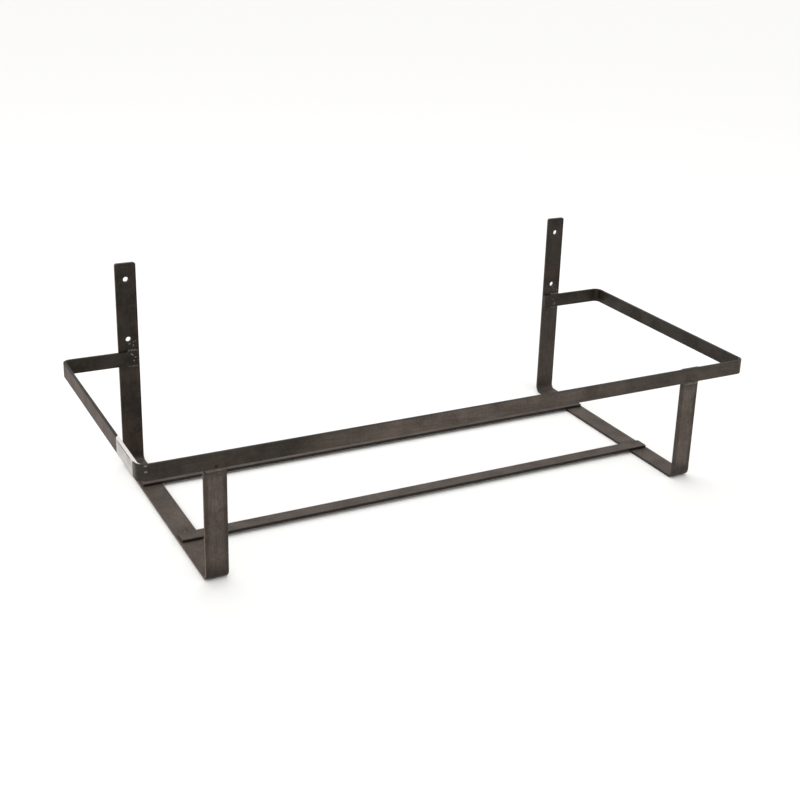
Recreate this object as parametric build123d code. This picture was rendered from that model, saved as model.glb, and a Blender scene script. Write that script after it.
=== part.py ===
"""Firewood log rack: a welded cradle of flat steel bar.

Two J-shaped brackets stand on the floor and against the wall. A rail bent round three
sides and turned in at the back is welded to their front faces, two crossbars tie their
feet together, and a folded paper label sits on the rail.

Millimetres. +X is to the right, +Y is towards the wall and +Z is up. The origin is on the
floor, at the middle of the rack's width and depth.
"""

import os

from build123d import *

# Overall sizes
tray_width = 1070.0         # rail, outside to outside
tray_depth = 448.0          # back of the uprights to the front of the rail
upright_height = 360.0      # floor to the top of the uprights
bracket_spacing = 845.0     # centre to centre
tray_bottom = 181.0         # floor to the lower edge of the rail

# Flat bar, with the slightly rounded edges of rolled stock
bracket_bar_width = 35.0
bracket_bar_thickness = 5.0
rail_bar_height = 25.0
rail_bar_thickness = 5.0
crossbar_width = 25.0
crossbar_thickness = 5.0
rolled_edge_radius = 0.7

# Bends, measured inside the bend
bracket_bend_radius = 8.0
rail_bend_radius = 9.0

# Cut ends
upright_corner_radius = 4.0
crossbar_corner_radius = 2.5
crossbar_end_inset = 2.5    # a crossbar stops this far inside each bracket's outer edge
riser_top_below_rail_top = {"left": 3.0, "right": 1.5}
return_short_of_upright = {"left": 2.5, "right": 0.0}   # at the upright's inner edge

# Wall holes, two in each upright
wall_hole_diameter = 9.0
top_hole_from_upright_top = 28.0
wall_hole_spacing = 105.0

# Crossbars, placed by the edge that faces forward, measured from the wall
front_crossbar_from_wall = 325.0
rear_crossbar_from_wall = 115.0

# Weld beads
weld_leg = 4.0
upright_weld_length = 18.0
upright_weld_shift = 6.0    # to the right of the upright's middle
weld_end_margin = 3.0       # a bead stops this far inside the width that it joins

# Paper label, folded over the top of the rail's left side
label_length = 90.0
label_thickness = 0.2
label_from_front = 23.0     # front of the rail to the label's nearer end
label_flap_margin = 1.0     # rail left bare below each flap

# Places that several pieces share
wall_y = tray_depth / 2
upright_front_y = wall_y - bracket_bar_thickness
rail_front_y = -tray_depth / 2
riser_front_y = rail_front_y + rail_bar_thickness
rail_top = tray_bottom + rail_bar_height
base_top = bracket_bar_thickness
crossbar_length = bracket_spacing + bracket_bar_width - 2 * crossbar_end_inset
bracket_centres = {"left": -bracket_spacing / 2, "right": bracket_spacing / 2}


def bent_bar(points, section_plane_x, width, thickness, bend_radius):
    """A flat bar swept along straight runs joined by bends.

    The points lie on the middle of the bar's thickness, and the bend radius is the inner one.
    """
    path = FilletPolyline(*points, radius=bend_radius + thickness / 2)
    start = Plane(origin=path @ 0, x_dir=section_plane_x, z_dir=path % 0)
    section = start * RectangleRounded(width, thickness, rolled_edge_radius)
    return sweep(section, path=path)


def bracket(side):
    """Upright, foot and riser, bent from one bar."""
    centre_x = bracket_centres[side]
    riser_top = rail_top - riser_top_below_rail_top[side]
    half = bracket_bar_thickness / 2
    points = [
        (centre_x, wall_y - half, upright_height),
        (centre_x, wall_y - half, half),
        (centre_x, riser_front_y + half, half),
        (centre_x, riser_front_y + half, riser_top),
    ]
    bar = bent_bar(points, (1, 0, 0), bracket_bar_width, bracket_bar_thickness, bracket_bend_radius)
    bar -= upright_corner_waste(centre_x)
    for hole_z in wall_hole_heights():
        bar -= wall_hole(centre_x, hole_z)
    return bar


def wall_hole_heights():
    top = upright_height - top_hole_from_upright_top
    return [top, top - wall_hole_spacing]


def wall_hole(centre_x, hole_z):
    """A drill's path through an upright, a little longer than the bar is thick."""
    middle_y = wall_y - bracket_bar_thickness / 2
    drill = Cylinder(wall_hole_diameter / 2, bracket_bar_thickness * 2, rotation=(90, 0, 0))
    return Pos(centre_x, middle_y, hole_z) * drill


def upright_corner_waste(centre_x):
    """What is ground off the two top corners of an upright."""
    r = upright_corner_radius
    depth = bracket_bar_thickness * 2
    middle_y = wall_y - bracket_bar_thickness / 2
    waste = []
    for side in (-1, 1):
        corner_x = centre_x + side * bracket_bar_width / 2
        block = Pos(corner_x, middle_y, upright_height) * Box(2 * r, depth, 2 * r)
        kept_x = corner_x - side * r
        kept = Pos(kept_x, middle_y, upright_height - r) * Cylinder(r, depth, rotation=(90, 0, 0))
        waste.append(block - kept)
    return waste


def rail():
    """The tray rail: front, two sides and two returns that end on the uprights."""
    half = rail_bar_thickness / 2
    back_y = upright_front_y - half
    front_y = rail_front_y + half
    side_x = tray_width / 2 - half
    inner_edge_x = bracket_spacing / 2 - bracket_bar_width / 2
    left_end_x = -inner_edge_x - return_short_of_upright["left"]
    right_end_x = inner_edge_x + return_short_of_upright["right"]
    middle_z = tray_bottom + rail_bar_height / 2
    points = [
        (left_end_x, back_y, middle_z),
        (-side_x, back_y, middle_z),
        (-side_x, front_y, middle_z),
        (side_x, front_y, middle_z),
        (side_x, back_y, middle_z),
        (right_end_x, back_y, middle_z),
    ]
    return bent_bar(points, (0, 0, 1), rail_bar_height, rail_bar_thickness, rail_bend_radius)


def crossbar(from_wall):
    """A flat tie that lies on both feet."""
    middle_y = wall_y - from_wall + crossbar_width / 2
    outline = RectangleRounded(crossbar_length, crossbar_width, crossbar_corner_radius)
    bar = extrude(outline, amount=crossbar_thickness)
    rims = bar.edges().group_by(Axis.Z)
    bar = fillet(rims[0] + rims[-1], rolled_edge_radius)
    return Pos(0, middle_y, base_top) * bar


def bead_along_x(corner, length, y_way, z_way):
    """A fillet weld in an inside corner that runs along X.

    The ways are +1 or -1: the direction in which each leg leaves the corner.
    """
    x, y, z = corner
    outline = Plane.YZ * Polyline((0, 0), (y_way * weld_leg, 0), (0, z_way * weld_leg), close=True)
    return Pos(x, y, z) * extrude(make_face(outline), amount=length / 2, both=True)


def bead_along_z(corner, length, x_way, y_way):
    """A fillet weld in an inside corner that runs along Z."""
    x, y, z = corner
    outline = Polyline((0, 0), (x_way * weld_leg, 0), (0, y_way * weld_leg), close=True)
    return Pos(x, y, z) * extrude(make_face(outline), amount=length / 2, both=True)


def rail_to_upright_welds():
    """A bead above and a bead below each return of the rail."""
    beads = []
    for centre_x in bracket_centres.values():
        x = centre_x + upright_weld_shift
        beads.append(bead_along_x((x, upright_front_y, rail_top), upright_weld_length, -1, 1))
        beads.append(bead_along_x((x, upright_front_y, tray_bottom), upright_weld_length, -1, -1))
    return beads


def rail_to_riser_welds():
    """A bead under the rail on each riser's front, and one down each side behind the rail."""
    beads = []
    middle_z = tray_bottom + rail_bar_height / 2
    for centre_x in bracket_centres.values():
        under = (centre_x, riser_front_y, tray_bottom)
        beads.append(bead_along_x(under, bracket_bar_width - 2 * weld_end_margin, -1, -1))
        for side in (-1, 1):
            corner = (centre_x + side * bracket_bar_width / 2, riser_front_y, middle_z)
            beads.append(bead_along_z(corner, rail_bar_height - 2 * weld_end_margin, side, 1))
    return beads


def crossbar_to_foot_welds():
    """A bead behind each crossbar, across each foot."""
    beads = []
    length = bracket_bar_width - 2 * weld_end_margin
    for from_wall in (front_crossbar_from_wall, rear_crossbar_from_wall):
        back_y = wall_y - from_wall + crossbar_width
        for centre_x in bracket_centres.values():
            beads.append(bead_along_x((centre_x, back_y, base_top), length, 1, 1))
    return beads


def label():
    """Paper folded over the rail's top edge, with a flap down each face."""
    outer_x = -tray_width / 2
    middle_x = outer_x + rail_bar_thickness / 2
    bottom = tray_bottom + label_flap_margin
    front_end = rail_front_y + label_from_front
    middle_y = front_end + label_length / 2
    height = rail_top - bottom
    paper = Box(
        rail_bar_thickness + 2 * label_thickness, label_length, height + label_thickness,
        align=(Align.CENTER, Align.CENTER, Align.MIN),
    )
    bar_space = Box(
        rail_bar_thickness, label_length * 2, height,
        align=(Align.CENTER, Align.CENTER, Align.MIN),
    )
    return Pos(middle_x, middle_y, bottom) * (paper - bar_space)


def write(node, shape):
    solids = shape if isinstance(shape, list) else [shape]
    whole = Compound(label=node, children=[s for item in solids for s in item.solids()])
    export_step(whole, f"parts/{node}.step")


os.makedirs("parts", exist_ok=True)
write("left_bracket", bracket("left"))
write("right_bracket", bracket("right"))
write("tray_rail", rail())
write("front_crossbar", crossbar(front_crossbar_from_wall))
write("rear_crossbar", crossbar(rear_crossbar_from_wall))
write("rail_to_upright_welds", rail_to_upright_welds())
write("rail_to_riser_welds", rail_to_riser_welds())
write("crossbar_to_foot_welds", crossbar_to_foot_welds())
write("paper_label", label())
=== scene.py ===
import math
import random

import bmesh
import bpy
from mathutils import Matrix, Quaternion, Vector


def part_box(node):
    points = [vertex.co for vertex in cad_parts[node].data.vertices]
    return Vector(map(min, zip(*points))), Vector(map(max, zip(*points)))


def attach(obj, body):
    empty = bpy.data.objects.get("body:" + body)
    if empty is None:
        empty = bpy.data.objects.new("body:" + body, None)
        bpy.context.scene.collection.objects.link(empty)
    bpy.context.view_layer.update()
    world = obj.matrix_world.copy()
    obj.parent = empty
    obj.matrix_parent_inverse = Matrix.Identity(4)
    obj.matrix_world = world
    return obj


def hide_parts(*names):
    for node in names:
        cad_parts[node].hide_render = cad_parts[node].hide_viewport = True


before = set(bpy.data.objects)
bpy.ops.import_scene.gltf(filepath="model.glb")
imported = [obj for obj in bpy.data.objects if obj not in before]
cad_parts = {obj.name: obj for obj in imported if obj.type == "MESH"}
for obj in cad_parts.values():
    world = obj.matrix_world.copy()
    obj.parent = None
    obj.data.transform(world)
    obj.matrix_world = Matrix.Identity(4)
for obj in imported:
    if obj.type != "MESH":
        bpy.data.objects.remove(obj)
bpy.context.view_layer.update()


# --- Brackets ---------------------------------------------------------------------------
# Two flat bars, each bent cold into a tall upright, a foot and a short riser.
# The hot-rolled steel shows its rolling lines through a thin brown-black lacquer, which is
# rubbed lighter along the edges, partly as a painted edge highlight. Its tops, outer edges
# and riser fronts are painted lighter as top, side and front light. The rail and crossbars
# get the same lacquer.
mm = 0.001

lacquer_deep = (0.009, 0.0075, 0.006, 1)
lacquer_thin = (0.024, 0.0195, 0.016, 1)
lacquer_olive = (0.018, 0.0165, 0.0115, 1)
lacquer_red = (0.036, 0.024, 0.019, 1)
# The light lacquer colour: thin lacquer, and painted top, side and front light.
lacquer_lit_and_worn = (0.119, 0.094, 0.080, 1)
lacquer_gloss = (1.0, 0.88, 0.78, 1)
# Lighter edges: rubbed lacquer and a painted edge highlight.
edge_wear_and_highlight = (0.120, 0.106, 0.094, 1)
# Small pale spots painted as glints on the rail's front left bend.
painted_glint = (0.15, 0.135, 0.12, 1)
side_light_tint = (1.0, 0.86, 0.79, 1)      # painted warm side light on faces looking out
scale_pit = (0.006, 0.005, 0.004, 1)
bare_spatter = (0.18, 0.165, 0.15, 1)

line_width = 2.4 * mm          # one rolling line, across the bar
line_stretch = 12.0            # how many times longer than wide a line is
patch_size = 46 * mm           # clouds where the lacquer is thicker or thinner
blotch_size = 8 * mm           # red-brown blotches
speckle_size = 3.2 * mm
peel_size = 1.3 * mm           # orange peel
wave_size = 34 * mm            # slight waves in the rolled bar
chip_size = 9 * mm             # stretches of edge with less rubbing and painted highlight
edge_reach = 1.6 * mm          # how far rubbing and painted highlight reach in from an edge
heat_reach = 22 * mm           # how far a weld has burnt the lacquer
weld_dot_size = 2.2 * mm       # fine spatter in the burnt lacquer
scorch_reach = 18 * mm
blow_hole_reach = 4.5 * mm
# The size of the painted glints on the rail's front left bend.
painted_glint_reach = 2.2 * mm

wave_depth = 0.25 * mm
line_depth = 0.07 * mm
peel_depth = 0.04 * mm


def lay(tree, kind, fills=None, **settings):
    """Adds one shader node, with its settings made and its sockets filled or joined."""
    node = tree.nodes.new(kind)
    for name, value in settings.items():
        setattr(node, name, value)
    for socket, value in (fills or {}).items():
        if isinstance(value, bpy.types.NodeSocket):
            tree.links.new(value, node.inputs[socket])
        else:
            node.inputs[socket].default_value = value
    return node


def fade(tree, value, low, high):
    """0 below low, 1 above high, smooth between. With low above high it falls instead."""
    fills = {"Value": value, "From Min": low, "From Max": high}
    return lay(tree, "ShaderNodeMapRange", fills, interpolation_type="SMOOTHSTEP").outputs[0]


def sums(tree, operation, a, b=0.0, clamp=False):
    """One step of arithmetic on two values."""
    fills = {0: a, 1: b}
    return lay(tree, "ShaderNodeMath", fills, operation=operation, use_clamp=clamp).outputs[0]


def times(tree, a, b, clamp=False):
    return sums(tree, "MULTIPLY", a, b, clamp)


def larger(tree, a, b):
    return sums(tree, "MAXIMUM", a, b)


def without_sign(tree, value):
    return sums(tree, "ABSOLUTE", value)


def tint(tree, share, under, over, way="MIX"):
    """One colour laid over another, by a share from 0 to 1."""
    fills = {"Factor": share, 6: under, 7: over}
    return lay(tree, "ShaderNodeMix", fills, data_type="RGBA", blend_type=way).outputs[2]


def either(tree, share, a, b):
    """Moves from value a to value b as the share goes from 0 to 1."""
    return lay(tree, "ShaderNodeMix", {"Factor": share, 2: a, 3: b}).outputs[0]


def cloud(tree, place, size, detail=4.0, rough=0.55, twist=0.0, shift=(0, 0, 0)):
    """Noise whose blots are about as wide as size."""
    moved = lay(tree, "ShaderNodeMapping", {"Vector": place, "Location": shift})
    fills = {
        "Vector": moved.outputs[0], "Scale": 1 / size, "Detail": detail,
        "Roughness": rough, "Distortion": twist,
    }
    return lay(tree, "ShaderNodeTexNoise", fills).outputs[0]


def rolling_lines(tree, place, run, shift):
    """Noise drawn out along the way that a bar runs."""
    squeeze = [1 / line_stretch if axis == run else 1.0 for axis in "XYZ"]
    drawn = lay(tree, "ShaderNodeMapping", {"Vector": place, "Scale": squeeze})
    return cloud(tree, drawn.outputs[0], line_width, detail=3.0, rough=0.6, shift=shift)


def near_points(tree, place, points, reach):
    """1 at any of the points and 0 beyond reach."""
    closest = reach * 2
    for point in points:
        away = lay(tree, "ShaderNodeVectorMath", {0: place, 1: point}, operation="DISTANCE")
        closest = sums(tree, "MINIMUM", away.outputs["Value"], closest)
    return fade(tree, closest, reach, reach * 0.25)


def looks_out(tree, parts, ways):
    """1 on the faces that look away from the rack's middle, to its left or right."""
    side = sums(tree, "SIGN", parts[0])
    return fade(tree, times(tree, side, ways[0]), 0.4, 0.95)


def edge_wear_and_highlights(tree, place, flat):
    """Up to 1 along the bar's edges, where a rounded normal leaves the true one."""
    # The lighter edges stand for rubbed lacquer and a painted edge highlight.
    rounded = lay(tree, "ShaderNodeBevel", {"Radius": edge_reach}, samples=8).outputs[0]
    same_way = lay(tree, "ShaderNodeVectorMath", {0: rounded, 1: flat}, operation="DOT_PRODUCT")
    edge = fade(tree, same_way.outputs["Value"], 0.985, 0.80)
    rubbed = fade(tree, cloud(tree, place, chip_size, detail=4.0, rough=0.7), 0.36, 0.62)
    return times(tree, edge, either(tree, rubbed, 0.25, 0.9))


def lacquer_surface(tree, place, lines):
    """Waves in the bar, its rolling lines and the lacquer's orange peel, as one normal."""
    waves = cloud(tree, place, wave_size, detail=2.0, shift=(1.3, 8.8, 3.9))
    peel = cloud(tree, place, peel_size, detail=2.0)
    bump = lay(tree, "ShaderNodeBump", {"Height": waves, "Strength": 0.5, "Distance": wave_depth})
    bump = lay(tree, "ShaderNodeBump", {
        "Height": lines, "Strength": 0.4, "Distance": line_depth, "Normal": bump.outputs[0],
    })
    bump = lay(tree, "ShaderNodeBump", {
        "Height": peel, "Strength": 0.45, "Distance": peel_depth, "Normal": bump.outputs[0],
    })
    return bump.outputs[0]


def lacquered_steel(name, light_and_wear, first_run, other_run=None, other_where=None, burns=(),
                    blow_holes=(), painted_glints=(), thick_on=None, shift=(0, 0, 0)):
    """Brown-black lacquer over rolled bar.

    The bar runs along first_run, and along other_run where other_where(tree, parts) is 1.
    The second argument, given (tree, parts, ways), says how much of the light lacquer colour
    goes on, from the place on the rack and the way that the face looks: where the lacquer is
    thin, and as painted top, side and front light. It has run thick on the faces that look
    along the thick_on axis. Burns are given for the right side, and mirrored. Each blow hole
    is a small burnt pit with a red scorch around it, and each glint point gets a small pale
    spot, a painted highlight.
    """
    steel = bpy.data.materials.new(name)
    steel.use_nodes = True
    tree = steel.node_tree
    tree.nodes.clear()
    place = lay(tree, "ShaderNodeTexCoord").outputs["Object"]
    parts = lay(tree, "ShaderNodeSeparateXYZ", {0: place}).outputs

    lines = rolling_lines(tree, place, first_run, shift)
    if other_run:
        other_lines = rolling_lines(tree, place, other_run, shift)
        lines = either(tree, other_where(tree, parts), lines, other_lines)
    patches = cloud(tree, place, patch_size, detail=5.0, rough=0.6, twist=0.4, shift=shift)
    warm = cloud(tree, place, patch_size * 1.7, detail=3.0, shift=(3.1, 1.7, 0.4))
    blotch = cloud(tree, place, blotch_size, detail=4.0, rough=0.65, shift=(5.5, 2.2, 7.1))
    speckle = cloud(tree, place, speckle_size, detail=3.0, rough=0.7, shift=(0.7, 5.2, 2.3))
    flat = lay(tree, "ShaderNodeNewGeometry").outputs["True Normal"]
    ways = lay(tree, "ShaderNodeSeparateXYZ", {0: flat}).outputs
    edge = edge_wear_and_highlights(tree, place, flat)

    colour = tint(tree, fade(tree, patches, 0.34, 0.66), lacquer_deep, lacquer_thin)
    colour = tint(tree, fade(tree, warm, 0.52, 0.72), colour, lacquer_red)
    colour = tint(tree, fade(tree, warm, 0.46, 0.30), colour, lacquer_olive)
    blotchy = times(tree, fade(tree, blotch, 0.50, 0.66), 0.4)
    colour = tint(tree, blotchy, colour, lacquer_red)
    uneven = either(tree, fade(tree, patches, 0.32, 0.68), 0.72, 1.22)
    # The light colour goes on where the lacquer is thin, and as painted top, side and front light.
    lit_and_worn = times(tree, light_and_wear(tree, parts, ways), uneven, clamp=True)
    colour = tint(tree, lit_and_worn, colour, lacquer_lit_and_worn)
    # Painted warm side light on the faces that look out to the sides.
    colour = tint(tree, looks_out(tree, parts, ways), colour, side_light_tint, "MULTIPLY")
    if thick_on:
        thick = fade(tree, without_sign(tree, ways["XYZ".index(thick_on)]), 0.5, 0.9)
        colour = tint(tree, times(tree, thick, 0.9), colour, lacquer_deep)
        edge = times(tree, edge, either(tree, thick, 1.0, 0.35))
    shade = either(tree, fade(tree, lines, 0.28, 0.72), 0.84, 1.18)
    shade = times(tree, shade, either(tree, fade(tree, speckle, 0.3, 0.7), 0.82, 1.18))
    grey = lay(tree, "ShaderNodeCombineColor", {0: shade, 1: shade, 2: shade}).outputs[0]
    colour = tint(tree, 1.0, colour, grey, "MULTIPLY")
    pits = fade(tree, speckle, 0.735, 0.78)
    colour = tint(tree, pits, colour, scale_pit)
    if burns:
        sideways = without_sign(tree, parts[0])
        mirror = {0: sideways, 1: parts[1], 2: parts[2]}
        mirrored = lay(tree, "ShaderNodeCombineXYZ", mirror).outputs[0]
        burnt = near_points(tree, mirrored, burns, heat_reach)
        colour = tint(tree, times(tree, burnt, 0.45), colour, lacquer_deep)
        dots = cloud(tree, place, weld_dot_size, detail=1.0, shift=(9.1, 0.3, 4.4))
        dots = times(tree, fade(tree, dots, 0.70, 0.76), burnt)
        colour = tint(tree, dots, colour, bare_spatter)
    # Lighter edges: rubbed lacquer and a painted edge highlight.
    colour = tint(tree, edge, colour, edge_wear_and_highlight)
    if blow_holes:
        scorch = near_points(tree, place, blow_holes, scorch_reach)
        colour = tint(tree, times(tree, scorch, 0.8), colour, lacquer_red)
        pit = near_points(tree, place, blow_holes, blow_hole_reach)
        colour = tint(tree, pit, colour, scale_pit)
    # Painted highlights: small pale spots where glints fall on the rail's front left bend.
    if painted_glints:
        rubbed = near_points(tree, place, painted_glints, painted_glint_reach)
        colour = tint(tree, rubbed, colour, painted_glint)

    rough = either(tree, fade(tree, patches, 0.3, 0.7), 0.50, 0.40)
    rough = sums(tree, "ADD", rough, either(tree, lines, -0.06, 0.06))
    rough = sums(tree, "ADD", rough, times(tree, lit_and_worn, 0.25))
    rough = sums(tree, "ADD", rough, times(tree, edge, -0.08), clamp=True)

    surface = lay(tree, "ShaderNodeBsdfPrincipled", {
        "Base Color": colour, "Roughness": rough, "Normal": lacquer_surface(tree, place, lines),
        "Specular IOR Level": 0.22, "Specular Tint": lacquer_gloss, "IOR": 1.5,
    })
    lay(tree, "ShaderNodeOutputMaterial", {"Surface": surface.outputs[0]})
    return steel


bracket_low, bracket_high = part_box("right_bracket")
rail_low, rail_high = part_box("tray_rail")
bar_thickness = 5 * mm
bracket_x = (bracket_low.x + bracket_high.x) / 2
bracket_width = bracket_high.x - bracket_low.x
upright_front_y = bracket_high.y - bar_thickness
riser_front_y = bracket_low.y
rail_middle_z = (rail_low.z + rail_high.z) / 2
crossbar_backs = [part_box(name)[1].y for name in ("front_crossbar", "rear_crossbar")]

# Shares of painted light: top, side and front light; log rubbing is on the tops too.
log_side_light_and_wear = 0.56
riser_middle_light = 0.58
riser_edge_light = 0.26
riser_light_starts = 6 * mm     # above the floor, and how high the painted light is at its full
riser_light_full = 42 * mm
left_riser_share = 0.84
right_riser_share = 1.1
right_upright_lightening = 0.2
upright_lightening_fades = 30 * mm   # above the rail


def on_the_foot(tree, parts):
    return fade(tree, parts[2], bar_thickness * 2, bar_thickness)


def bracket_light_and_wear(tree, parts, ways):
    """Lighter on the outer edges and tops, where logs lie, and down the middle of the risers.

    The outer edges are painted side light and the tops painted top light, with some rubbing
    by logs. The riser fronts are painted front light that fades to painted shade near the
    floor. The right bracket is made lighter than the left one, on its riser and low on its
    upright.
    """
    on_the_right = fade(tree, parts[0], -bracket_x, bracket_x)
    log_side = times(tree, fade(tree, ways[2], 0.5, 0.9), log_side_light_and_wear)
    off_middle = sums(tree, "SUBTRACT", without_sign(tree, parts[0]), bracket_x)
    off_middle = without_sign(tree, off_middle)
    near_its_edge = fade(tree, off_middle, 0.24 * bracket_width, 0.42 * bracket_width)
    riser = either(tree, near_its_edge, riser_middle_light, riser_edge_light)
    riser = times(tree, fade(tree, parts[1], 0.0, riser_front_y), riser)
    riser = times(tree, riser, fade(tree, parts[2], riser_light_starts, riser_light_full))
    riser = times(tree, riser, either(tree, on_the_right, left_riser_share, right_riser_share))
    low_down = fade(tree, parts[2], rail_high.z + upright_lightening_fades, rail_low.z)
    upright = times(tree, low_down, either(tree, on_the_right, 0.0, right_upright_lightening))
    flats = larger(tree, log_side, larger(tree, riser, upright))
    return larger(tree, looks_out(tree, parts, ways), flats)


bracket_burns = [
    (bracket_x, upright_front_y, rail_middle_z),
    (bracket_x, riser_front_y, rail_low.z),
    (bracket_x, crossbar_backs[0], bar_thickness),
    (bracket_x, crossbar_backs[1], bar_thickness),
]
bracket_finish = lacquered_steel(
    "lacquered_bracket_steel", bracket_light_and_wear, "Z", "Y", on_the_foot, bracket_burns,
    shift=(0.21, 0.4, 0.0),
)
for name in ("left_bracket", "right_bracket"):
    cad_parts[name].material_slots[0].material = bracket_finish


# --- Crossbars --------------------------------------------------------------------------
# Two flat bars cut to length with their corners rounded off, laid on the feet and welded
# along their back edges. They run straight from bracket to bracket.
# Tops painted lighter, as top light and some rubbing by logs.
crossbar_top_light_and_wear = 0.52


def crossbar_light_and_wear(tree, parts, ways):
    return times(tree, fade(tree, ways[2], 0.5, 0.9), crossbar_top_light_and_wear)


crossbar_finish = lacquered_steel(
    "lacquered_crossbar_steel", crossbar_light_and_wear, "X",
    burns=[(bracket_x, back, 2 * bar_thickness) for back in crossbar_backs],
    thick_on="Y", shift=(0.0, 0.37, 0.13),
)
for name in ("front_crossbar", "rear_crossbar"):
    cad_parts[name].material_slots[0].material = crossbar_finish


# --- Crossbar welds ---------------------------------------------------------------------
# Short fillet beads, run by hand across each foot behind each crossbar. Their ripples show
# through the lacquer, and a few drops of spatter have stuck around them.
bead_sides = 16
bead_ripple = 1.8 * mm
rings_in_ripple = 4
crest_size = 1.03              # a ripple's first ring, and how much each next one loses
crest_fall = 0.035
bead_end_size = 0.35
bead_sink = 0.2                # share of the weld's leg
hand = random.Random(11)

bead_dark = (0.022, 0.018, 0.015, 1)
bead_light = (0.085, 0.072, 0.062, 1)
bead_rust = (0.085, 0.048, 0.030, 1)
drop_dark = (0.07, 0.063, 0.056, 1)
drop_bright = (0.27, 0.25, 0.23, 1)


def weld_bead(welds, middle, run, length, across):
    """Adds one bead along X or Z: a rod whose rings swell and shrink with the ripples."""
    bead = bmesh.new()
    bmesh.ops.create_cone(
        bead, cap_ends=True, segments=bead_sides, radius1=0.5, radius2=0.5, depth=1.0
    )
    ripples = max(5, round(length / bead_ripple))
    sides = [edge for edge in bead.edges if abs(edge.verts[0].co.z - edge.verts[1].co.z) > 0.5]
    cuts = ripples * rings_in_ripple - 1
    bmesh.ops.subdivide_edges(bead, edges=sides, cuts=cuts, use_grid_fill=True)
    rings = {}
    for vert in bead.verts:
        rings.setdefault(round((vert.co.z + 0.5) * (cuts + 1)), []).append(vert)
    swell, sway = 1.0, 0.0
    for step, ring in sorted(rings.items()):
        crest = step % rings_in_ripple
        if crest == 0:
            swell = hand.uniform(0.93, 1.07)
            sway = hand.uniform(-0.05, 0.05)
        end = abs(2 * step / (cuts + 1) - 1)
        bluntness = max(bead_end_size, math.sqrt(1 - end ** 6))
        size = swell * (crest_size - crest_fall * crest) * bluntness
        bmesh.ops.scale(bead, vec=(size * across[0], size * across[1], 1), verts=ring)
        bmesh.ops.translate(bead, vec=(sway * across[0], sway * across[1], 0), verts=ring)
    bmesh.ops.scale(bead, vec=(1, 1, length), verts=bead.verts)
    if run == "X":
        turn = Matrix.Rotation(math.radians(90), 3, "Y")
        bmesh.ops.rotate(bead, cent=(0, 0, 0), matrix=turn, verts=bead.verts)
    bmesh.ops.translate(bead, vec=middle, verts=bead.verts)
    scrap = bpy.data.meshes.new("bead")
    bead.to_mesh(scrap)
    bead.free()
    welds.from_mesh(scrap)
    bpy.data.meshes.remove(scrap)


def spatter(welds, middle, spread, count, largest):
    """Adds drops of thrown weld metal, half sunk in the face that they hit."""
    for _ in range(count):
        spot = [m + hand.uniform(-s, s) for m, s in zip(middle, spread)]
        drop = Matrix.Translation(spot)
        size = largest * hand.uniform(0.45, 1.0)
        thrown = bmesh.ops.create_icosphere(welds, subdivisions=2, radius=size, matrix=drop)
        for face in {face for vert in thrown["verts"] for face in vert.link_faces}:
            face.material_index = 1


def lay_in_place(name, shape, finishes, node):
    """Makes the finished object and lets it stand for a node of the frame."""
    bmesh.ops.recalc_face_normals(shape, faces=shape.faces)
    for face in shape.faces:
        face.smooth = True
    mesh = bpy.data.meshes.new(name)
    shape.to_mesh(mesh)
    shape.free()
    for finish in finishes:
        mesh.materials.append(finish)
    piece = bpy.data.objects.new(name, mesh)
    bpy.context.scene.collection.objects.link(piece)
    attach(piece, "root")
    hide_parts(node)
    return piece


weld_patch_size = 4.5 * mm
weld_grain_size = 0.9 * mm
weld_grain_depth = 0.12 * mm
crater_reach = 7 * mm          # rust around the crater where a bead was left open


def weld_metal(name, dark, light, rust=()):
    """Lacquered weld metal, with rusty pores around each of the rust points."""
    metal = bpy.data.materials.new(name)
    metal.use_nodes = True
    tree = metal.node_tree
    tree.nodes.clear()
    place = lay(tree, "ShaderNodeTexCoord").outputs["Object"]
    patches = cloud(tree, place, weld_patch_size, detail=4.0, rough=0.65)
    grain = cloud(tree, place, weld_grain_size, detail=3.0)
    colour = tint(tree, fade(tree, patches, 0.36, 0.66), dark, light)
    pores = fade(tree, grain, 0.64, 0.72)
    if rust:
        rusty = near_points(tree, place, rust, crater_reach)
        colour = tint(tree, times(tree, rusty, 0.85), colour, bead_rust)
        pores = larger(tree, pores, times(tree, fade(tree, grain, 0.5, 0.58), rusty))
    colour = tint(tree, pores, colour, scale_pit)
    rough = either(tree, patches, 0.5, 0.32)
    bump = lay(tree, "ShaderNodeBump", {
        "Height": grain, "Strength": 0.5, "Distance": weld_grain_depth,
    })
    surface = lay(tree, "ShaderNodeBsdfPrincipled", {
        "Base Color": colour, "Roughness": rough, "Normal": bump.outputs[0],
        "Specular Tint": lacquer_gloss, "IOR": 1.5,
    })
    lay(tree, "ShaderNodeOutputMaterial", {"Surface": surface.outputs[0]})
    return metal


foot_metal = weld_metal("foot_weld_metal", bead_dark, bead_light)
drop_metal = weld_metal("bare_spatter_metal", drop_dark, drop_bright)

foot_weld_low, foot_weld_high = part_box("crossbar_to_foot_welds")
foot_weld_leg = foot_weld_high.z - foot_weld_low.z
foot_bead_length = bracket_width - 6 * mm
foot_bead = (1.5 * foot_weld_leg, 1.5 * foot_weld_leg)
foot_bead_z = foot_weld_low.z + bead_sink * foot_weld_leg

foot_welds = bmesh.new()
for side in (-1, 1):
    for back_y in crossbar_backs:
        middle = (side * bracket_x, back_y + bead_sink * foot_weld_leg, foot_bead_z)
        weld_bead(foot_welds, middle, "X", foot_bead_length, foot_bead)
        on_foot = (side * bracket_x, back_y + 12 * mm, foot_weld_low.z)
        spread = (0.4 * bracket_width, 7 * mm, 0)
        spatter(foot_welds, on_foot, spread, count=5, largest=0.8 * mm)
lay_in_place(
    "foot_weld_beads", foot_welds, [foot_metal, drop_metal],
    "crossbar_to_foot_welds",
)


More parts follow.
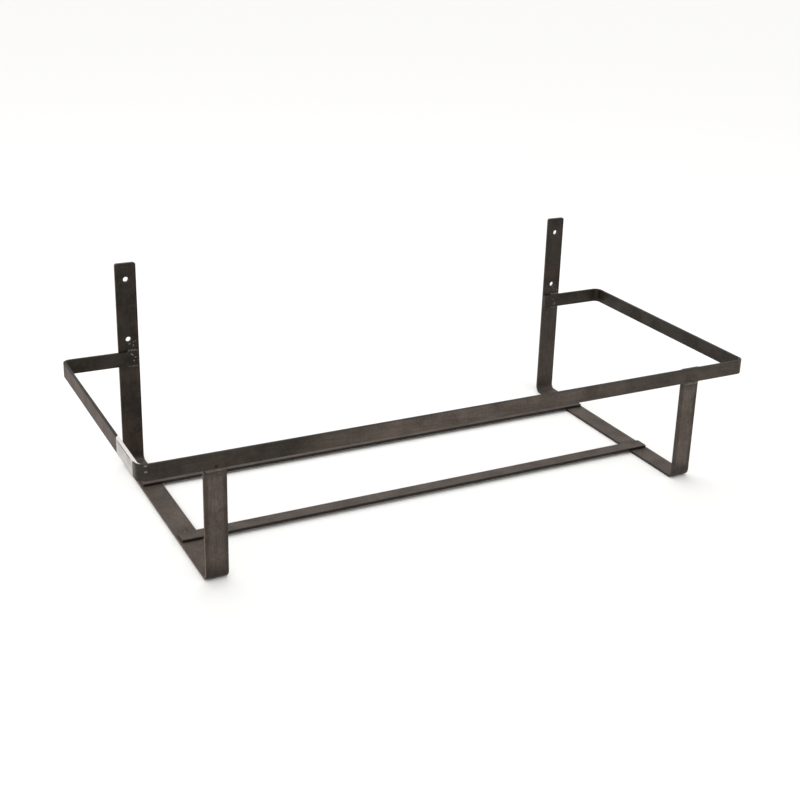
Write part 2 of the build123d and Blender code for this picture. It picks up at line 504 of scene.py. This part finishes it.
# --- Tray rail --------------------------------------------------------------------------
# One flat bar on edge, bent at four corners into an open rectangle. Its front lies against
# the risers and its two turned-in ends lie on the uprights, all held by welds.
# Painted light on the rail: side light on its outsides, front light along its front.
rail_side_light = 0.42
front_left_light = 0.08
front_middle_light = 0.56
front_right_light = 0.30
bend_dark_until = 6 * mm            # behind the rail's front: no painted side light up to here,
bend_lit_from = 22 * mm          # and as much as on the rest of the side from here on


def along_the_sides(tree, parts):
    sideways = without_sign(tree, parts[0])
    return fade(tree, sideways, rail_high.x - 2 * bar_thickness, rail_high.x - bar_thickness)


def rail_light_and_wear(tree, parts, ways):
    """Painted light: on the outsides of the two sides, and most of all on the front's middle."""
    outside = times(tree, looks_out(tree, parts, ways), rail_side_light)
    off_the_bend = fade(tree, parts[1], rail_low.y + bend_dark_until, rail_low.y + bend_lit_from)
    outside = times(tree, outside, off_the_bend)
    on_front = times(tree, fade(tree, ways[1], -0.5, -0.9), fade(tree, parts[1], 0.0, rail_low.y))
    past_left = fade(tree, parts[0], 0.6 * rail_low.x, 0.25 * rail_low.x)
    past_middle = fade(tree, parts[0], 0.2 * rail_high.x, 0.5 * rail_high.x)
    along = either(tree, past_left, front_left_light, front_middle_light)
    along = either(tree, past_middle, along, front_right_light)
    return larger(tree, outside, times(tree, on_front, along))


rail_burns = [
    (bracket_x, upright_front_y - bar_thickness, rail_middle_z),
    (bracket_x, riser_front_y - bar_thickness, rail_low.z),
]
over_left_riser = (-bracket_x, rail_low.y, rail_low.z + 4 * mm)
# Painted highlights: where glints fall on the rail's front left bend.
front_left_glints = [
    (rail_low.x + from_corner, rail_low.y, height)
    for height in (rail_high.z - 1.5 * mm, rail_middle_z + 2 * mm)
    for from_corner in (11 * mm, 13 * mm)
]
rail_finish = lacquered_steel(
    "lacquered_rail_steel", rail_light_and_wear, "X", "Y", along_the_sides, rail_burns,
    blow_holes=[over_left_riser], painted_glints=front_left_glints, thick_on="Z",
    shift=(0.0, 0.11, 0.29),
)
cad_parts["tray_rail"].material_slots[0].material = rail_finish


# --- Rail welds -------------------------------------------------------------------------
# A bead above and below each return, on the right half of its upright. On each riser a
# smooth bead fills the corner under the rail, and one more runs up each side behind it.
return_metal = weld_metal("return_weld_metal", bead_dark, bead_light)
riser_bead_dark = (0.052, 0.045, 0.039, 1)
riser_bead_light = (0.094, 0.083, 0.074, 1)

return_bead_length = 18 * mm
riser_bead_length = bracket_width - 4 * mm
edge_bead_length = 19 * mm

upright_weld_low, upright_weld_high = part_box("rail_to_upright_welds")
return_weld_leg = upright_weld_high.z - rail_high.z
return_bead = (1.45 * return_weld_leg, 1.5 * return_weld_leg)
return_bead_y = upright_front_y - bead_sink * return_weld_leg
return_bead_lift = 0.15 * return_weld_leg
bead_places = [
    (upright_weld_low.x + return_bead_length / 2, -1),
    (upright_weld_high.x - return_bead_length / 2, 1),
]

return_welds = bmesh.new()
for bead_x, side in bead_places:
    for corner_z, way in ((rail_high.z, 1), (rail_low.z, -1)):
        middle = (bead_x, return_bead_y, corner_z + way * return_bead_lift)
        weld_bead(return_welds, middle, "X", return_bead_length, return_bead)
    above = (bead_x, upright_front_y, rail_high.z + 11 * mm)
    spatter(return_welds, above, (7 * mm, 0, 7 * mm), count=7, largest=1.1 * mm)
    on_return = (bead_x, upright_front_y - bar_thickness, rail_middle_z)
    spatter(return_welds, on_return, (6 * mm, 0, 9 * mm), count=5, largest=1.3 * mm)
lay_in_place(
    "return_weld_beads", return_welds, [return_metal, drop_metal],
    "rail_to_upright_welds",
)

riser_bead = (8.0 * mm, 6.2 * mm)
riser_bead_y = riser_front_y - 1.2 * mm
riser_bead_z = rail_low.z - 1.6 * mm
edge_bead = (5.6 * mm, 5.6 * mm)
edge_bead_off = bracket_width / 2 + 0.6 * mm
edge_bead_y = riser_front_y + 0.8 * mm
crater_x = riser_bead_length / 2 - 2 * mm

riser_welds = bmesh.new()
for side in (-1, 1):
    middle = (side * bracket_x, riser_bead_y, riser_bead_z)
    weld_bead(riser_welds, middle, "X", riser_bead_length, riser_bead)
    for edge in (-1, 1):
        middle = (side * bracket_x + edge * edge_bead_off, edge_bead_y, rail_middle_z)
        weld_bead(riser_welds, middle, "Z", edge_bead_length, edge_bead)
    below = (side * bracket_x, riser_front_y, rail_low.z - 13 * mm)
    spatter(riser_welds, below, (0.42 * bracket_width, 0, 6 * mm), count=5, largest=0.6 * mm)
craters = [(side * bracket_x + crater_x, riser_bead_y, riser_bead_z) for side in (-1, 1)]
riser_metal = weld_metal("riser_weld_metal", riser_bead_dark, riser_bead_light, craters)
lay_in_place(
    "riser_weld_beads", riser_welds, [riser_metal, drop_metal],
    "rail_to_riser_welds",
)


# --- Paper label ------------------------------------------------------------------------
# A strip of coated paper, folded over the top of the rail's left side. One end is cut
# square, and its inner edge runs on towards the front in a thin tail.
paper_thickness = 0.14 * mm
paper_gap = 0.04 * mm
paper_pitch = 0.42 * mm        # one column of the sheet, which is also one crease
paper_rows = 40
creases = 3                    # to each fold, so that it goes round the rail's rolled edge
fold_allowance = 0.55 * mm     # taken up by the creases, at each side of a fold
tail_length = 17 * mm
tail_width = 3.2 * mm
far_slant = 7 * mm
rail_bend = 14 * mm            # the outside of the rail's bend, which the tail follows

rule_pitch = 4.4 * mm          # the print: rows of broken grey rules on the outer flap
print_top = 1.0 * mm           # below the rail's top
print_bottom = 14 * mm
print_near = 8 * mm            # from the near end and from the far end
print_far = 14 * mm
word_size = 4 * mm
word_squeeze = (0.05, 1.0, 0.3)
word_shift = (0, 13 * mm, 0)

crease_size = 16 * mm
crease_depth = 0.5 * mm
fibre_size = 0.8 * mm
fibre_depth = 0.03 * mm

paper_white = (0.52, 0.485, 0.46, 1)
paper_grey = (0.41, 0.38, 0.365, 1)
# Painted top light: the label's top face and folds are made lighter.
paper_top_light = (0.68, 0.65, 0.63, 1)
ink_grey = (0.05, 0.047, 0.045, 1)

label_low, label_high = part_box("paper_label")
paper_foot = Vector((rail_low.x - paper_gap, 0, label_low.z))
flap = rail_high.z - label_low.z - fold_allowance
flap_columns = round(flap / paper_pitch)
top_columns = round((bar_thickness - 2 * fold_allowance) / paper_pitch)
outer_fold = [flap_columns + crease for crease in range(creases)]
inner_fold = [outer_fold[-1] + top_columns + crease for crease in range(creases)]
columns = inner_fold[-1] + flap_columns

paper = bmesh.new()
bmesh.ops.create_grid(paper, x_segments=columns, y_segments=paper_rows, size=0.5)
column_of = {vert: round((vert.co.x + 0.5) * columns) for vert in paper.verts}
for vert, column in column_of.items():
    beside_tail = (column - inner_fold[0]) * paper_pitch / tail_width
    near_end = label_low.y - tail_length * math.exp(-beside_tail ** 2)
    past_fold = min(1.0, max(0.0, (column - flap_columns) / (top_columns + creases)))
    far_end = label_high.y - far_slant * (1 - past_fold)
    height = paper_foot.z + column * paper_pitch
    vert.co = (paper_foot.x, near_end + (vert.co.y + 0.5) * (far_end - near_end), height)
for crease in outer_fold + inner_fold:
    hinge = next(vert.co.copy() for vert in paper.verts if column_of[vert] == crease)
    beyond = [vert for vert in paper.verts if column_of[vert] > crease]
    turn = Matrix.Rotation(math.radians(90 / creases), 3, "Y")
    bmesh.ops.rotate(paper, cent=hinge, matrix=turn, verts=beyond)
bend_middle = Vector((rail_low.x + rail_bend, rail_low.y + rail_bend, 0))
for vert in paper.verts:
    past_bend = bend_middle.y - vert.co.y
    if past_bend > 0:
        reach = bend_middle.x - vert.co.x
        way_round = past_bend / reach
        vert.co.x = bend_middle.x - reach * math.cos(way_round)
        vert.co.y = bend_middle.y - reach * math.sin(way_round)
bmesh.ops.recalc_face_normals(paper, faces=paper.faces)
bmesh.ops.solidify(paper, geom=paper.faces, thickness=paper_thickness)

coated_paper = bpy.data.materials.new("coated_paper")
coated_paper.use_nodes = True
tree = coated_paper.node_tree
tree.nodes.clear()
place = lay(tree, "ShaderNodeTexCoord").outputs["Object"]
parts = lay(tree, "ShaderNodeSeparateXYZ", {0: place}).outputs
creasing = cloud(tree, place, crease_size, detail=4.0, rough=0.6, twist=0.3)
fibres = cloud(tree, place, fibre_size, detail=3.0)
colour = tint(tree, fade(tree, creasing, 0.35, 0.7), paper_white, paper_grey)
down = sums(tree, "SUBTRACT", rail_high.z, parts[2])
# Painted top light: the top face and folds lighter.
colour = tint(tree, fade(tree, down, 1.6 * mm, 0.4 * mm), colour, paper_top_light)
phase = sums(tree, "FRACT", sums(tree, "DIVIDE", down, rule_pitch))
rules = times(tree, fade(tree, phase, 0.26, 0.34), fade(tree, phase, 0.86, 0.78))
below_top = fade(tree, down, print_top, print_top + 0.2 * mm)
above_bottom = fade(tree, down, print_bottom, print_bottom - 1 * mm)
past_near = fade(tree, parts[1], label_low.y + print_near, label_low.y + print_near + 1 * mm)
before_far = fade(tree, parts[1], label_high.y - print_far, label_high.y - print_far - 1 * mm)
words = lay(tree, "ShaderNodeMapping", {
    "Vector": place, "Scale": word_squeeze, "Location": word_shift,
}).outputs[0]
broken = fade(tree, cloud(tree, words, word_size, detail=2.0), 0.36, 0.42)
printed = times(tree, times(tree, below_top, above_bottom), times(tree, past_near, before_far))
ink = times(tree, times(tree, rules, printed), broken)
after_first_rule = fade(tree, down, rule_pitch, 1.2 * rule_pitch)
ink = times(tree, ink, either(tree, after_first_rule, 1.0, 0.22))
colour = tint(tree, times(tree, ink, 0.95), colour, ink_grey)
bump = lay(tree, "ShaderNodeBump", {
    "Height": creasing, "Strength": 0.4, "Distance": crease_depth,
})
bump = lay(tree, "ShaderNodeBump", {
    "Height": fibres, "Strength": 0.2, "Distance": fibre_depth, "Normal": bump.outputs[0],
})
surface = lay(tree, "ShaderNodeBsdfPrincipled", {
    "Base Color": colour, "Roughness": either(tree, fibres, 0.42, 0.56), "Normal": bump.outputs[0],
})
lay(tree, "ShaderNodeOutputMaterial", {"Surface": surface.outputs[0]})
lay_in_place("folded_label", paper, [coated_paper], "paper_label")


# --- Floor ------------------------------------------------------------------------------
# A plain pale studio floor under the feet, matt, and wide enough to fill every view.
# It isn't part of the rack.
floor_half_width = 30.0
floor_pale = (0.965, 0.965, 0.955, 1)

boards = bmesh.new()
bmesh.ops.create_grid(boards, x_segments=1, y_segments=1, size=floor_half_width)
floor_mesh = bpy.data.meshes.new("studio_floor")
boards.to_mesh(floor_mesh)
boards.free()
floor = bpy.data.objects.new("studio_floor", floor_mesh)
bpy.context.scene.collection.objects.link(floor)
floor_paint = bpy.data.materials.new("pale_floor")
floor_paint.use_nodes = True
floor_surface = floor_paint.node_tree.nodes["Principled BSDF"].inputs
floor_surface["Base Color"].default_value = floor_pale
floor_surface["Roughness"].default_value = 0.9
floor_surface["Specular IOR Level"].default_value = 0.1
floor_mesh.materials.append(floor_paint)


# --- Light ------------------------------------------------------------------------------
# A white room gives most of the light. A broad lamp overhead draws the bars' tops, one on
# the left draws their left edges, and a weak one fills from the front right.
room_white = (1.0, 0.995, 0.985, 1)

room = bpy.data.worlds.new("white_room")
room.use_nodes = True
room_light = room.node_tree.nodes["Background"].inputs
room_light["Color"].default_value = room_white
room_light["Strength"].default_value = 1.0
bpy.context.scene.world = room
bpy.context.scene.view_settings.view_transform = "Standard"


def soft_lamp(name, stands_at, aims_at, width, watts):
    """Hangs a square lamp and turns it to its aim."""
    light = bpy.data.lights.new(name, "AREA")
    light.shape = "SQUARE"
    light.size = width
    light.energy = watts
    lamp = bpy.data.objects.new(name, light)
    lamp.location = stands_at
    beam = Vector(aims_at) - Vector(stands_at)
    lamp.rotation_euler = beam.to_track_quat("-Z", "Y").to_euler()
    bpy.context.scene.collection.objects.link(lamp)


rack_middle = (0.0, 0.0, 0.15)
soft_lamp("left_lamp", (-2.6, -0.4, 2.0), rack_middle, width=1.6, watts=7)
soft_lamp("right_lamp", (2.2, -2.4, 1.4), rack_middle, width=1.6, watts=3)
soft_lamp("top_lamp", (0.2, 0.8, 2.8), rack_middle, width=2.2, watts=12)


# --- Camera -----------------------------------------------------------------------------
# A longish lens from the front left, looking down a little on the rack and tilted very
# slightly. Its small shifts put the rack in the middle of the frame.
camera_azimuth = math.radians(-28.605)
camera_elevation = math.radians(19.779)
camera_roll = math.radians(2.113)
camera_distance = 2.1999
camera_aims_at = Vector((0.0403, 0.0114, 0.2316))

eye = bpy.data.cameras.new("camera")
eye.sensor_width = 36.0
eye.lens = 58.044
eye.shift_x = -0.0375
eye.shift_y = -0.075
camera = bpy.data.objects.new("camera", eye)
away = Vector((
    math.sin(camera_azimuth) * math.cos(camera_elevation),
    -math.cos(camera_azimuth) * math.cos(camera_elevation),
    math.sin(camera_elevation),
))
camera.location = camera_aims_at + away * camera_distance
camera.rotation_mode = "QUATERNION"
camera.rotation_quaternion = (
    (-away).to_track_quat("-Z", "Y") @ Quaternion((0, 0, 1), camera_roll)
)
bpy.context.scene.collection.objects.link(camera)
bpy.context.scene.camera = camera
